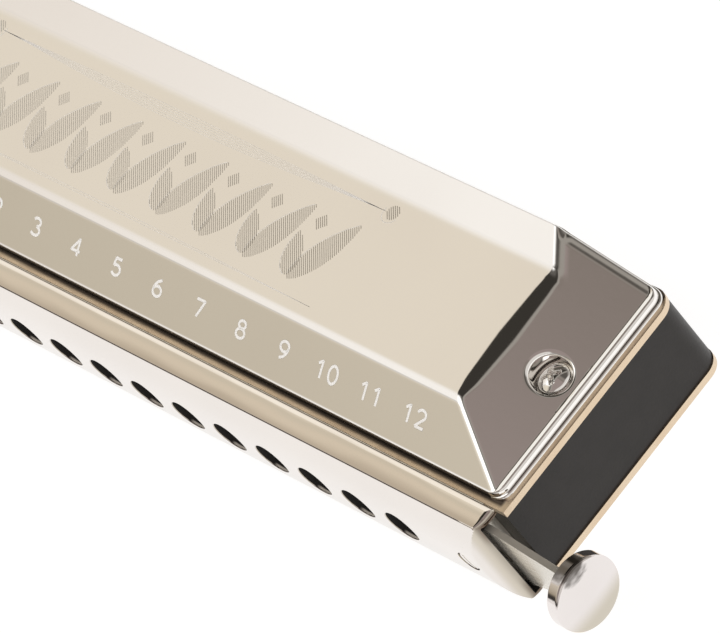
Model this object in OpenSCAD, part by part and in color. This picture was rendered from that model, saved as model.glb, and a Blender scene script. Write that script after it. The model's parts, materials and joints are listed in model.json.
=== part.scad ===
// Sixteen-hole chromatic harmonica with a spring-returned slide.
//
// Every piece is drawn in the comb's own axes and then moved by placed():
//   X runs along the holes, towards the slide button, with 0 at mid-length,
//   Y runs from the mouthpiece to the back, with 0 at the comb's front face,
//   Z is up, with 0 at the comb's mid-thickness.
// placed() puts the origin at the centre of the lower cover's flat panel.

/* [Holes] */
// Number of mouth holes
hole_count = 16; // [12:1:16]
// Distance between neighbouring mouth holes
hole_pitch = 9; // [8.6:0.1:9.4]
// Diameter of a mouth hole
mouth_hole_d = 5.6; // [4:0.1:6]

/* [Comb] */
// Length of the comb along the holes
comb_len = 175; // [174:0.5:178]
// Depth of the comb from front to back
comb_depth = 36; // [36:0.5:40]
// Thickness of the comb between the reed plates
comb_t = 12.4; // [12:0.1:13]
// Radius of the comb's rear vertical edges
comb_rear_r = 3; // [1:0.25:4]
// Width of one reed chamber
chamber_w = 3.6; // [3.2:0.1:3.8]

/* [Reed plates] */
// Thickness of a reed plate
plate_t = 1.05; // [0.8:0.05:1.2]
// How far a reed plate stands past each end of the comb
plate_overhang = 0.25; // [0:0.05:0.4]
// Free length of the lowest reeds
long_reed = 21; // [18:0.5:22]
// Free length of the highest reeds
short_reed = 11.5; // [10:0.5:13]
// Width of a reed tongue
reed_w = 2.1; // [1.8:0.1:2.3]

/* [Covers] */
// Sheet thickness of the covers
cover_t = 0.5; // [0.4:0.05:0.6]
// Height of the skirt that stands on the reed plate
skirt_h = 1.4; // [1:0.1:1.8]
// Height of the flat panel above the reed plate
panel_h = 6; // [5.6:0.1:6.5]
// Height of the raised rear edge above the reed plate
rear_h = 7.5; // [7:0.1:8]
// Angle of the end slopes
end_slope = 22.5; // [21:0.5:24]

/* [Mouthpiece and slide] */
// Height of the mouthpiece
mouth_h = 16.4; // [16.2:0.1:17]
// Distance from the comb's front face to the mouthpiece's nose
mouth_reach = 5.85; // [5.7:0.05:6.5]
// Thickness of the slide
slide_t = 0.95; // [0.8:0.05:1]
// Height of the slide's ported part
slide_h = 12.6; // [12:0.1:12.8]
// Diameter of the button
button_d = 10.5; // [9:0.5:11]
// Thickness of the button
button_t = 2.6; // [2:0.1:2.8]

/* [Hidden] */
$fn = 48;

cut = 1;                                    // how far a cutter runs past a face
bore_gap = 0.02;                            // radial gap between a fastener and its bore
comb_top = comb_t / 2;
comb_half = comb_len / 2;
plate_top = comb_top + plate_t;
plate_len = comb_len + 2 * plate_overhang;

// Cover outline, measured in the comb's axes
cover_front = 0.97;                         // front face of the skirt
cover_back = comb_depth - 0.2;              // rear face of the end caps
cover_half = comb_half - 0.75;              // outer face of the end skirts
cover_corner_r = 2.3;                       // plan radius of the skirt's corners
ledge_w = 0.5;                              // flat step on top of the front skirt
end_ledge_w = 1.25;                         // flat step on top of the end skirts
front_ridge_y = 9.25;                       // ridge between front slope and panel
rear_bend_y = 29.9;                         // bend between panel and rear band
rear_lip_y = 35.3;                          // crest of the rear band
ledge_z = plate_top + skirt_h;
panel_z = plate_top + panel_h;
rear_z = plate_top + rear_h;
front_slope = atan((panel_z - ledge_z) / (front_ridge_y - cover_front - ledge_w));
sound_half = comb_half - 13.5;              // half length of the rear sound opening
panel_mid_y = (front_ridge_y + rear_bend_y) / 2;

// Screws that clamp the covers
cover_screw_x = comb_half - 6;
cover_screw_y = 18;
screw_pocket_r = 3.1;                       // recess round a cover screw's head
screw_floor_z = plate_top + 1.1;            // seat of the cover screw's head
cover_shank_r = 1;
cover_head_r = 2.6;
cover_head_rim = 0.6;                       // straight side of a cover screw's head
cover_head_h = 1.5;
cover_dome_r = 4.2;
cross_half = 1.3;                           // half length of a cross recess
drive_half_w = 0.3;                         // half width of a screwdriver slot
sleeve_r = 1.6;
sleeve_end_z = 2;                           // how far a sleeve reaches past mid-thickness
cover_hole_r = 1.75;

// Screws that hold the reed plates, given for one half of the plate
plate_screw_front = [comb_half - 13.2, 9];
plate_screw_side = [comb_half - 3.5, 29];
plate_screw_rear = [40, 34.2];
plate_shank_r = 0.7;
plate_head_r = 1.5;
plate_head_h = 0.6;
plate_screw_l = 3;                          // length of a plate screw in the comb

// Reeds and their chambers
divider_t = 1;                              // wall between upper and lower chambers
antechamber_y = 1.4;                        // thickness of the comb's front wall
partition_y = 2.5;                          // front end of the wall inside a pair
slot_front_y = 6;
slot_w = reed_w + 0.3;
reed_t = 0.3;
reed_base_w = 3;
reed_base_l = 3.4;
rivet_inset = 2.2;                          // rivet's distance from its slot
rivet_r = 0.5;
rivet_head_r = 0.9;
rivet_head_h = 0.35;
rivet_foot_r = 0.8;
rivet_foot_h = 0.25;
reed_gap = 0.2;                             // gap between a reed's end and its slot
chamber_tail = 0.6;                         // chamber behind a reed's root
valve_t = 0.15;
valve_w = 2.8;
valve_tip = 0.6;                            // how far a windsaver passes its slot
valve_root = 1.1;
window_w = 4.3;                             // ports between slide and comb
window_z0 = 1;
window_z1 = 4.7;
port_margin = 0.4;                          // how far the plates' ports pass the comb's

// Stack of plates in front of the comb, in Y
fit_gap = 0.05;                             // running gap on each side of the slide
back_plate_t = 1.8;
slide_back_y = -back_plate_t - fit_gap;
slide_front_y = slide_back_y - slide_t;
front_plate_y = slide_front_y - fit_gap;
front_plate_t = 0.55;
stack_front_y = front_plate_y - front_plate_t;
stack_half_h = mouth_h / 2 - 1;
mouth_rear_y = -0.4;
mouth_half = comb_half - 0.7;               // half length of the mouthpiece
mouth_crease_y = -3.92;                     // crease between flat top and nose
mouth_end_r = 4;                            // plan radius of the mouthpiece's ends
mouth_screw_x = comb_half - 6.5;
mouth_end_wall = 0.9;                       // wall that closes the recess at the left end
mouth_hole_lip = 0.7;                       // width of the flare round a mouth hole
mouth_flare_y = 0.5;                        // depth of that flare
mouth_shank_r = 1.05;
mouth_shank_l = 7;                          // length of a mouthpiece screw in the comb
mouth_head_r = 2.1;
mouth_head_h = 0.9;
mouth_counterbore = 1.3;                    // depth of a mouthpiece screw's recess
mouth_slot_half_w = 0.25;
guide_inset = 0.4;                          // guide plates end short of the mouthpiece
guide_lip_end = 4;                          // lips stop this far before the spring
bumper_r = 1.9;

// Slide
slide_travel = hole_pitch / 2;
slide_left_x = -mouth_screw_x;
neck_x = comb_half - 0.9;                   // where the slide's neck starts to narrow
neck_end_x = comb_half + 13.3;
neck_end_half_h = 2.6;
button_face_x = comb_half + 14.4;
button_y = (slide_back_y + slide_front_y) / 2;
button_dome = 0.35;

// Return spring in its pocket at the button end of the comb
pivot = [comb_half - 6.9, 10];
wire_r = 0.42;
coil_r = 1.6;
post_r = 1;
pocket_floor_z = 2;
pocket_back = 4.4;                          // pocket's rear wall, from the pivot
coil_z = 2.5;
coil_pitch = 0.8;
pocket_half_w = 2.7;
arm_gap = 0.25;                             // clearance round the spring's moving leg
notch_half_w = 0.75;                        // half width of the slide's notch for the leg
arm_z = 4.35;
arm_reach = 12.65;
arm_angle = atan((slide_travel / 2) / (pivot[1] - button_y));
arm_sweep = arm_reach * sin(arm_angle) + wire_r + arm_gap;

function hole_x(k) = (k - (hole_count - 1) / 2) * hole_pitch;
function reed_len(k) = long_reed - (long_reed - short_reed) * k / (hole_count - 1);
function slot_end_y(k) = slot_front_y + reed_len(k);
// The blow reed of a pair sits left of the hole's centre and the draw reed right of it
function reed_x(k, side) = hole_x(k) + side * hole_pitch / 4;

plate_screws = [
    for (p = [plate_screw_front, plate_screw_side, plate_screw_rear], s = [-1, 1]) [s * p[0], p[1]],
    [0, plate_screw_rear[1]]
];

module placed() {
    translate([0, -panel_mid_y, panel_z]) children();
}

module box(low, high) {
    translate(low) cube(high - low);
}

// Plan of a comb or reed plate: square front corners and round rear corners
module plan(len, depth, r) {
    translate([-len / 2, 0]) square([len, depth - r]);
    translate([-len / 2 + r, 0]) square([len - 2 * r, depth]);
    for (s = [-1, 1]) translate([s * (len / 2 - r), depth - r]) circle(r);
}

// Plan rectangle with all four corners round
module round_plan(x0, x1, y0, y1, r) {
    translate([x0 + r, y0]) square([x1 - x0 - 2 * r, y1 - y0]);
    translate([x0, y0 + r]) square([x1 - x0, y1 - y0 - 2 * r]);
    for (x = [x0 + r, x1 - r], y = [y0 + r, y1 - r]) translate([x, y]) circle(r);
}

// Extrudes an outline drawn in Y and Z along X
module along_x(half) {
    translate([-half, 0, 0]) rotate([90, 0, 90]) linear_extrude(2 * half) children();
}

// Extrudes an outline drawn in X and Z along Y, from y0 to y1
module along_y(y0, y1) {
    translate([0, y1, 0]) rotate([90, 0, 0]) linear_extrude(y1 - y0) children();
}

// ---- Comb ----

module chamber_plan() {
    for (k = [0:hole_count - 1]) {
        translate([hole_x(k) - hole_pitch / 4 - chamber_w / 2, antechamber_y])
            square([hole_pitch / 2 + chamber_w, partition_y - antechamber_y]);
        for (side = [-1, 1])
            translate([reed_x(k, side) - chamber_w / 2, antechamber_y])
                square([chamber_w, slot_end_y(k) + reed_base_l + chamber_tail - antechamber_y]);
    }
}

module chambers(up) {
    mirror([0, 0, up ? 0 : 1]) {
        translate([0, 0, divider_t / 2]) linear_extrude(comb_t) chamber_plan();
        for (k = [0:hole_count - 1])
            box([hole_x(k) - window_w / 2, -cut, window_z0],
                [hole_x(k) + window_w / 2, (antechamber_y + partition_y) / 2, window_z1]);
    }
}

module spring_pocket() {
    box([pivot[0] - pocket_half_w, antechamber_y, pocket_floor_z],
        [pivot[0] + pocket_half_w, pivot[1] + pocket_back, comb_t]);
    box([pivot[0] - arm_sweep, -cut, arm_z - wire_r - arm_gap],
        [pivot[0] + arm_sweep, antechamber_y + cut, comb_t]);
}

module comb() {
    color([0.16, 0.15, 0.14]) placed() difference() {
        translate([0, 0, -comb_top]) linear_extrude(comb_t) plan(comb_len, comb_depth, comb_rear_r);
        chambers(true);
        chambers(false);
        spring_pocket();
        for (s = [-1, 1]) {
            translate([s * cover_screw_x, cover_screw_y, -comb_t]) cylinder(r = cover_hole_r, h = 2 * comb_t);
            translate([s * mouth_screw_x, -cut, 0]) rotate([-90, 0, 0]) cylinder(r = mouth_shank_r + bore_gap, h = mouth_shank_l + 2 * cut);
        }
        for (p = plate_screws, up = [0, 1]) mirror([0, 0, up])
            translate([p[0], p[1], comb_top - plate_screw_l - reed_gap])
                cylinder(r = plate_shank_r + bore_gap, h = plate_screw_l + cut, $fn = 24);
    }
}

// ---- Reed plates, reeds, rivets and windsavers ----

// Where a slot's rivet stands: behind the slot for blow reeds, before it for draw reeds
function rivet_y(k, side) = side < 0 ? slot_end_y(k) + rivet_inset : slot_front_y - rivet_inset;

module reed_plate() {
    translate([0, 0, comb_top]) linear_extrude(plate_t) difference() {
        plan(plate_len, comb_depth, comb_rear_r);
        for (k = [0:hole_count - 1], side = [-1, 1]) {
            translate([reed_x(k, side) - slot_w / 2, slot_front_y]) square([slot_w, reed_len(k)]);
            translate([reed_x(k, side), rivet_y(k, side)]) circle(rivet_r + bore_gap, $fn = 16);
        }
        for (p = plate_screws) translate(p) circle(plate_shank_r + 0.15, $fn = 24);
        for (s = [-1, 1]) translate([s * cover_screw_x, cover_screw_y]) circle(cover_hole_r);
    }
}

// One row of reeds, side -1 for blow and 1 for draw, standing on z0
module reeds(side, z0) {
    for (k = [0:hole_count - 1])
        translate([reed_x(k, side), 0, z0]) linear_extrude(reed_t) difference() {
            union() {
                translate([-reed_w / 2, slot_front_y + reed_gap]) square([reed_w, reed_len(k) - 2 * reed_gap]);
                translate([-reed_base_w / 2,
                    side < 0 ? slot_end_y(k) - reed_gap : slot_front_y + reed_gap - reed_base_l])
                    square([reed_base_w, reed_base_l]);
            }
            translate([0, rivet_y(k, side)]) circle(rivet_r + bore_gap, $fn = 16);
        }
}

// A rivet holds its reed to the plate's outer face when outside is true
module rivet(outside) {
    reed_side = outside ? 1 : -1;
    translate([0, 0, comb_top + plate_t / 2]) mirror([0, 0, outside ? 0 : 1]) {
        translate([0, 0, -plate_t / 2 - rivet_foot_h]) cylinder(r = rivet_foot_r, h = rivet_foot_h, $fn = 16);
        translate([0, 0, -plate_t / 2 - rivet_foot_h / 2])
            cylinder(r = rivet_r, h = plate_t + reed_t + rivet_foot_h, $fn = 16);
        translate([0, 0, plate_t / 2 + reed_t]) cylinder(r = rivet_head_r, h = rivet_head_h, $fn = 16);
    }
}

module rivets() {
    for (k = [0:hole_count - 1], side = [-1, 1])
        translate([reed_x(k, side), rivet_y(k, side), 0]) rivet(side > 0);
}

// Valve strips lie on the side of the plate away from their reed
module windsavers() {
    for (k = [0:hole_count - 1], side = [-1, 1]) {
        y0 = slot_front_y - (side < 0 ? valve_tip : valve_root);
        y1 = slot_end_y(k) + (side < 0 ? valve_root : valve_tip);
        z0 = side < 0 ? plate_top : comb_top - valve_t;
        box([reed_x(k, side) - valve_w / 2, y0, z0], [reed_x(k, side) + valve_w / 2, y1, z0 + valve_t]);
    }
}

module plate_screw() {
    difference() {
        union() {
            translate([0, 0, plate_top]) cylinder(r = plate_head_r, h = plate_head_h, $fn = 32);
            translate([0, 0, comb_top - plate_screw_l])
                cylinder(r = plate_shank_r, h = plate_t + plate_screw_l + plate_head_h / 4, $fn = 24);
        }
        box([-plate_head_r - cut, -plate_head_r / 8, plate_top + plate_head_h / 2],
            [plate_head_r + cut, plate_head_r / 8, plate_top + plate_head_h + cut]);
    }
}

module plate_screw_set() {
    for (p = plate_screws) translate(p) plate_screw();
}

module upper_reed_plate() { color([0.84, 0.7, 0.52]) placed() reed_plate(); }
module lower_reed_plate() { color([0.84, 0.7, 0.52]) placed() mirror([0, 0, 1]) reed_plate(); }
module upper_blow_reeds() { color([0.86, 0.73, 0.45]) placed() reeds(-1, comb_top - reed_t); }
module upper_draw_reeds() { color([0.86, 0.73, 0.45]) placed() reeds(1, plate_top); }
module lower_blow_reeds() { color([0.86, 0.73, 0.45]) placed() mirror([0, 0, 1]) reeds(-1, comb_top - reed_t); }
module lower_draw_reeds() { color([0.86, 0.73, 0.45]) placed() mirror([0, 0, 1]) reeds(1, plate_top); }
module upper_reed_rivets() { color([0.8, 0.66, 0.4]) placed() rivets(); }
module lower_reed_rivets() { color([0.8, 0.66, 0.4]) placed() mirror([0, 0, 1]) rivets(); }
module upper_windsavers() { color([0.9, 0.9, 0.85]) placed() windsavers(); }
module lower_windsavers() { color([0.9, 0.9, 0.85]) placed() mirror([0, 0, 1]) windsavers(); }
module upper_plate_screws() { color([0.85, 0.85, 0.85]) placed() plate_screw_set(); }
module lower_plate_screws() { color([0.85, 0.85, 0.85]) placed() mirror([0, 0, 1]) plate_screw_set(); }

// ---- Covers ----

// Front-to-back outline of a cover's skin, moved inwards by d and standing on z0
module cover_section(d, z0) {
    bend = atan((rear_z - panel_z) / (rear_lip_y - rear_bend_y));
    polygon([
        [cover_front - cut, z0],
        [cover_front - cut, ledge_z - d],
        [cover_front + ledge_w + d * tan(front_slope / 2), ledge_z - d],
        [front_ridge_y + d * tan(front_slope / 2), panel_z - d],
        [rear_bend_y + d * tan(bend / 2), panel_z - d],
        [rear_lip_y + d * tan(bend / 2), rear_z - d],
        [cover_back + cut, rear_z - d],
        [cover_back + cut, z0]
    ]);
}

// End-to-end outline of a cover's skin, moved inwards by d
module cover_end_section(d) {
    low = plate_top - 2 * cut;
    top = rear_z + cut;
    knee = cover_half - end_ledge_w - d * tan(end_slope / 2);
    peak = knee - (top - ledge_z + d) / tan(end_slope);
    edge = cover_half + cut;
    polygon([[-edge, low], [-edge, ledge_z - d], [-knee, ledge_z - d], [-peak, top],
        [peak, top], [knee, ledge_z - d], [edge, ledge_z - d], [edge, low]]);
}

module cover_block(d, z0) {
    intersection() {
        linear_extrude(3 * comb_t)
            round_plan(-cover_half + d, cover_half - d, cover_front + d, cover_back - d, cover_corner_r - d);
        along_x(cover_half + 2 * cut) cover_section(d, z0);
        along_y(cover_front - 2 * cut, cover_back + 2 * cut) cover_end_section(d);
    }
}

module cover() {
    difference() {
        union() {
            difference() {
                cover_block(0, plate_top);
                cover_block(cover_t, plate_top - cut);
            }
            for (s = [-1, 1]) intersection() {
                translate([s * cover_screw_x, cover_screw_y, screw_floor_z - cover_t])
                    cylinder(r = screw_pocket_r + cover_t, h = panel_h);
                cover_block(0, plate_top);
            }
        }
        // rear sound opening
        intersection() {
            box([-sound_half, rear_lip_y - 1.5, plate_top - cut], [sound_half, cover_back + cut, rear_z - cover_t]);
            along_y(0, comb_depth + cut) cover_end_section(cover_t);
        }
        for (s = [-1, 1]) translate([s * cover_screw_x, cover_screw_y, 0]) {
            translate([0, 0, screw_floor_z]) cylinder(r = screw_pocket_r, h = panel_h);
            cylinder(r = cover_hole_r, h = 2 * comb_t);
        }
    }
}

module upper_cover() { color([0.87, 0.84, 0.79]) placed() cover(); }
module lower_cover() { color([0.87, 0.84, 0.79]) placed() mirror([0, 0, 1]) cover(); }

// Domed head that stands in a cover's recess
module cover_head() {
    translate([0, 0, screw_floor_z]) cylinder(r = cover_head_r, h = cover_head_rim);
    intersection() {
        translate([0, 0, screw_floor_z + cover_head_rim]) cylinder(r = cover_head_r, h = cover_head_h);
        translate([0, 0, screw_floor_z + cover_head_h - cover_dome_r]) sphere(cover_dome_r);
    }
}

module cover_screw() {
    difference() {
        union() {
            cover_head();
            translate([0, 0, -comb_top - cut])
                cylinder(r = cover_shank_r, h = screw_floor_z + comb_top + cut + drive_half_w, $fn = 32);
        }
        for (a = [0, 90]) rotate(a)
            box([-cross_half, -drive_half_w, screw_floor_z + cover_head_rim],
                [cross_half, drive_half_w, screw_floor_z + 2 * cover_head_h]);
    }
}

// Sleeve nut: a tube through the comb with a domed head in the lower cover's recess
module sleeve_nut() {
    mirror([0, 0, 1]) difference() {
        union() {
            cover_head();
            translate([0, 0, -sleeve_end_z])
                cylinder(r = sleeve_r, h = screw_floor_z + sleeve_end_z + drive_half_w, $fn = 32);
        }
        translate([0, 0, -sleeve_end_z - cut])
            cylinder(r = cover_shank_r + bore_gap, h = comb_top + sleeve_end_z + 2.2 * cut, $fn = 32);
        box([-cover_head_r - cut, -drive_half_w, screw_floor_z + cover_head_rim],
            [cover_head_r + cut, drive_half_w, screw_floor_z + 2 * cover_head_h]);
    }
}

module cover_screws() {
    color([0.9, 0.88, 0.84]) placed()
        for (s = [-1, 1]) translate([s * cover_screw_x, cover_screw_y, 0]) cover_screw();
}

module cover_sleeve_nuts() {
    color([0.9, 0.88, 0.84]) placed()
        for (s = [-1, 1]) translate([s * cover_screw_x, cover_screw_y, 0]) sleeve_nut();
}

// ---- Mouthpiece ----

module mouth_section() {
    bulge = mouth_reach + mouth_crease_y;
    nose_r = (mouth_h * mouth_h / 4 + bulge * bulge) / (2 * bulge);
    intersection() {
        translate([-mouth_reach - cut, -mouth_h / 2]) square([mouth_reach + cut + mouth_rear_y, mouth_h]);
        translate([nose_r - mouth_reach, 0]) circle(nose_r, $fn = 96);
    }
}

module mouthpiece() {
    color([0.9, 0.88, 0.85]) placed() difference() {
        intersection() {
            along_x(mouth_half) mouth_section();
            translate([0, 0, -mouth_h]) linear_extrude(2 * mouth_h)
                round_plan(-mouth_half, mouth_half, -mouth_reach, mouth_end_r + 1, mouth_end_r);
        }
        // recess for the slide and its two plates, open at the button end
        box([-mouth_half + mouth_end_wall, stack_front_y, -stack_half_h - bore_gap],
            [mouth_half + cut, cut, stack_half_h + bore_gap]);
        for (k = [0:hole_count - 1]) translate([hole_x(k), cut, 0]) rotate([90, 0, 0]) {
            cylinder(d = mouth_hole_d, h = mouth_reach + 2 * cut);
            translate([0, 0, mouth_reach + cut - mouth_flare_y])
                cylinder(r1 = mouth_hole_d / 2, r2 = mouth_hole_d / 2 + mouth_hole_lip, h = mouth_hole_lip);
        }
        for (s = [-1, 1]) translate([s * mouth_screw_x, cut, 0]) rotate([90, 0, 0]) {
            cylinder(r = mouth_shank_r + 0.2, h = mouth_reach + 2 * cut);
            translate([0, 0, mouth_reach + cut - mouth_counterbore])
                cylinder(r = mouth_head_r + 0.15, h = 2 * mouth_counterbore);
        }
    }
}

module mouthpiece_screw() {
    rotate([90, 0, 0]) difference() {
        union() {
            translate([0, 0, mouth_reach - mouth_counterbore]) cylinder(r = mouth_head_r, h = mouth_head_h);
            translate([0, 0, -mouth_shank_l])
                cylinder(r = mouth_shank_r, h = mouth_shank_l + mouth_reach - mouth_counterbore + mouth_head_h / 9, $fn = 32);
        }
        box([-mouth_head_r - cut, -mouth_slot_half_w, mouth_reach - mouth_counterbore + mouth_head_h / 2],
            [mouth_head_r + cut, mouth_slot_half_w, mouth_reach + cut]);
    }
}

module mouthpiece_screws() {
    color([0.86, 0.84, 0.8]) placed()
        for (s = [-1, 1]) translate([s * mouth_screw_x, 0, 0]) mouthpiece_screw();
}

// ---- Slide and its guides ----

// Ports of a guide plate: an upper and a lower window at every hole
module guide_ports() {
    for (k = [0:hole_count - 1], s = [0, 1]) mirror([0, s])
        translate([hole_x(k) - window_w / 2, window_z0 - port_margin]) square([window_w, window_z1 - window_z0 + port_margin]);
}

module guide_outline(x1) {
    translate([-mouth_half + 1, -stack_half_h]) square([x1 + mouth_half - 1, 2 * stack_half_h]);
}

module slide_back_plate() {
    color([0.8, 0.78, 0.74]) placed() along_y(-back_plate_t, 0) difference() {
        guide_outline(mouth_half - guide_inset);
        guide_ports();
        for (s = [-1, 1]) translate([s * mouth_screw_x, 0]) circle(mouth_shank_r + 0.2);
        translate([pivot[0] - arm_sweep, arm_z - wire_r - arm_gap])
            square([2 * arm_sweep, 2 * (wire_r + arm_gap) + 1.6]);
    }
}

module slide_front_plate() {
    color([0.8, 0.78, 0.74]) placed() {
        along_y(stack_front_y, front_plate_y) difference() {
            guide_outline(mouth_half - guide_inset);
            guide_ports();
            for (s = [-1, 1]) translate([s * mouth_screw_x, 0]) circle(mouth_shank_r + 0.2);
        }
        // lips that keep the slide at its height
        for (s = [0, 1]) mirror([0, 0, s])
            box([-mouth_half + 1, front_plate_y, slide_h / 2 + fit_gap],
                [pivot[0] - guide_lip_end, -back_plate_t, stack_half_h]);
    }
}

module slide_outline() {
    half = slide_h / 2;
    button_back_x = button_face_x - button_t;
    polygon([[slide_left_x, -half], [neck_x, -half], [button_back_x, -neck_end_half_h],
        [neck_end_x, -neck_end_half_h], [neck_end_x, neck_end_half_h],
        [button_back_x, neck_end_half_h], [neck_x, half], [slide_left_x, half]]);
}

// Slot that lets the slide travel past something of radius r at x
module travel_slot(x, r) {
    translate([x, -r]) square([slide_travel, 2 * r]);
    for (d = [0, slide_travel]) translate([x + d, 0]) circle(r);
}

module slide_plate() {
    notch_x = pivot[0] + slide_travel / 2;
    color([0.85, 0.83, 0.79]) placed() along_y(slide_front_y, slide_back_y) difference() {
        slide_outline();
        for (k = [0:hole_count - 1]) {
            translate([hole_x(k) - window_w / 2, window_z0 - port_margin])
                square([window_w, window_z1 - window_z0 + port_margin]);
            translate([hole_x(k) - window_w / 2 + slide_travel, -window_z1])
                square([window_w, window_z1 - window_z0 + port_margin]);
        }
        travel_slot(mouth_screw_x, mouth_shank_r + 0.1);
        travel_slot(-mouth_screw_x, bumper_r + 0.05);
        translate([notch_x - notch_half_w, arm_z - wire_r - arm_gap]) square([2 * notch_half_w, slide_h]);
    }
}

// Half section of the button about its axis, with its domed face upwards
module button_section() {
    dome_r = (button_d * button_d / 4 + button_dome * button_dome) / (2 * button_dome);
    intersection() {
        square([button_d / 2, button_t]);
        translate([0, button_t - dome_r]) circle(dome_r, $fn = 360);
    }
}

module slide_button() {
    color([0.88, 0.85, 0.82]) placed() translate([0, button_y, 0]) difference() {
        translate([button_face_x - button_t, 0, 0]) rotate([0, 90, 0])
            rotate_extrude($fn = 96) button_section();
        box([button_face_x - button_t - cut, -slide_t / 2 - bore_gap, -neck_end_half_h - bore_gap],
            [neck_end_x + bore_gap, slide_t / 2 + bore_gap, neck_end_half_h + bore_gap]);
    }
}

module slide_bumper() {
    color([0.3, 0.3, 0.3]) placed()
        translate([-mouth_screw_x, -back_plate_t, 0]) rotate([90, 0, 0]) difference() {
            cylinder(r = bumper_r, h = slide_t + 2 * fit_gap);
            translate([0, 0, -cut]) cylinder(r = mouth_shank_r + bore_gap, h = slide_t + 4 * cut, $fn = 32);
        }
}

// ---- Return spring ----

module spring_post() {
    color([0.75, 0.62, 0.4]) placed() translate([pivot[0], pivot[1], pocket_floor_z])
        cylinder(r = post_r, h = comb_top - pocket_floor_z - plate_t / 4, $fn = 32);
}

// Ring of wire round the post with its lowest turn at z
module wire_ring(z, turns) {
    translate([0, 0, z]) rotate_extrude($fn = 48)
        for (i = [0:turns - 1]) translate([coil_r, i * coil_pitch]) circle(wire_r, $fn = 24);
}

module spring_coil() {
    color([0.7, 0.7, 0.7]) placed() translate([pivot[0], pivot[1], 0]) {
        wire_ring(coil_z, 2);
        translate([0, coil_r, coil_z]) rotate([-90, 0, 0]) cylinder(r = wire_r, h = pocket_back - coil_r, $fn = 24);
    }
}

module spring_arm() {
    color([0.7, 0.7, 0.7]) placed() translate([pivot[0], pivot[1], 0]) rotate(arm_angle) {
        wire_ring(arm_z, 1);
        translate([0, -coil_r, arm_z]) rotate([90, 0, 0]) cylinder(r = wire_r, h = arm_reach - coil_r, $fn = 24);
    }
}

comb();
upper_reed_plate();
lower_reed_plate();
upper_blow_reeds();
upper_draw_reeds();
lower_blow_reeds();
lower_draw_reeds();
upper_reed_rivets();
lower_reed_rivets();
upper_windsavers();
lower_windsavers();
upper_plate_screws();
lower_plate_screws();
upper_cover();
lower_cover();
cover_screws();
cover_sleeve_nuts();
mouthpiece();
mouthpiece_screws();
slide_back_plate();
slide_front_plate();
slide_plate();
slide_button();
slide_bumper();
spring_post();
spring_coil();
spring_arm();
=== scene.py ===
"""Looks for the sixteen-hole chromatic harmonica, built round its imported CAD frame.

Pieces are drawn in millimetres in the comb's own axes, as part.scad draws them:
X along the holes towards the button, Y from the mouthpiece to the back with 0 at
the comb's front face, Z up with 0 at the comb's mid-thickness.
"""
import json
import math

import bmesh
import bpy
import numpy as np
from mathutils import Matrix, Vector


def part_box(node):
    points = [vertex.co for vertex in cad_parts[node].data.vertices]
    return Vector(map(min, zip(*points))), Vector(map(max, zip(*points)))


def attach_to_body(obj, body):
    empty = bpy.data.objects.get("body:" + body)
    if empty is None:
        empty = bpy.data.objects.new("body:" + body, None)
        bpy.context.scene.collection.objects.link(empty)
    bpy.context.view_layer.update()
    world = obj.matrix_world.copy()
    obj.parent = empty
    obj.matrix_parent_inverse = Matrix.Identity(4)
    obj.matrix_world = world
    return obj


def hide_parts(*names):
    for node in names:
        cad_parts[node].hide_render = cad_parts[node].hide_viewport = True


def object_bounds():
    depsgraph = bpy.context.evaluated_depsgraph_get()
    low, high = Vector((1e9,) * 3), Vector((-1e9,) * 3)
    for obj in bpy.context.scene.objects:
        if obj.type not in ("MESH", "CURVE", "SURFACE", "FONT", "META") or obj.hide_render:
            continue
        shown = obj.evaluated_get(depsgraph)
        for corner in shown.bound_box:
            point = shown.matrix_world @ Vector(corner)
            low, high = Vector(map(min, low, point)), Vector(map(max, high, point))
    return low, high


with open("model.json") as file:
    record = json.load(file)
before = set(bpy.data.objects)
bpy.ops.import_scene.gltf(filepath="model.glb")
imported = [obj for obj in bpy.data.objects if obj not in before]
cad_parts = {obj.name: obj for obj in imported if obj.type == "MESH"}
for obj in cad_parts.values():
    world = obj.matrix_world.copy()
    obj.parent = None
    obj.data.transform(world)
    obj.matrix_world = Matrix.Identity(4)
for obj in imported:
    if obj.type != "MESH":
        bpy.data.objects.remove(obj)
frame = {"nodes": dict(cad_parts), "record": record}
CAD_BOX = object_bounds()

# ---- places and sizes

COMB_LO, COMB_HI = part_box("comb")
ORIGIN = np.array([0.0, COMB_LO.y, (COMB_LO.z + COMB_HI.z) / 2])


def mm_box(node):
    """A CAD node's box in millimetres in the comb's axes."""
    lo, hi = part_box(node)
    return (np.array(lo) - ORIGIN) * 1000, (np.array(hi) - ORIGIN) * 1000


MOUNTS = {m["name"]: m for m in frame["record"]["mounts"]}
PANEL_Z = (MOUNTS["upper_clamp_face"]["pos_m"][2] - ORIGIN[2]) * 1000
COVER_LO, COVER_HI = mm_box("upper_cover")
MOUTH_LO, MOUTH_HI = mm_box("mouthpiece")
PLATE_TOP = mm_box("upper_reed_plate")[1][2]
BUTTON_LO, BUTTON_HI = mm_box("slide_button")
COMB_HALF = (COMB_HI.x - COMB_LO.x) * 500
PITCH = 9.0
HOLES = round((2 * COMB_HALF - 31) / PITCH)
LOW_HOLES = HOLES - 12
HOLE_R = 2.75

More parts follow.
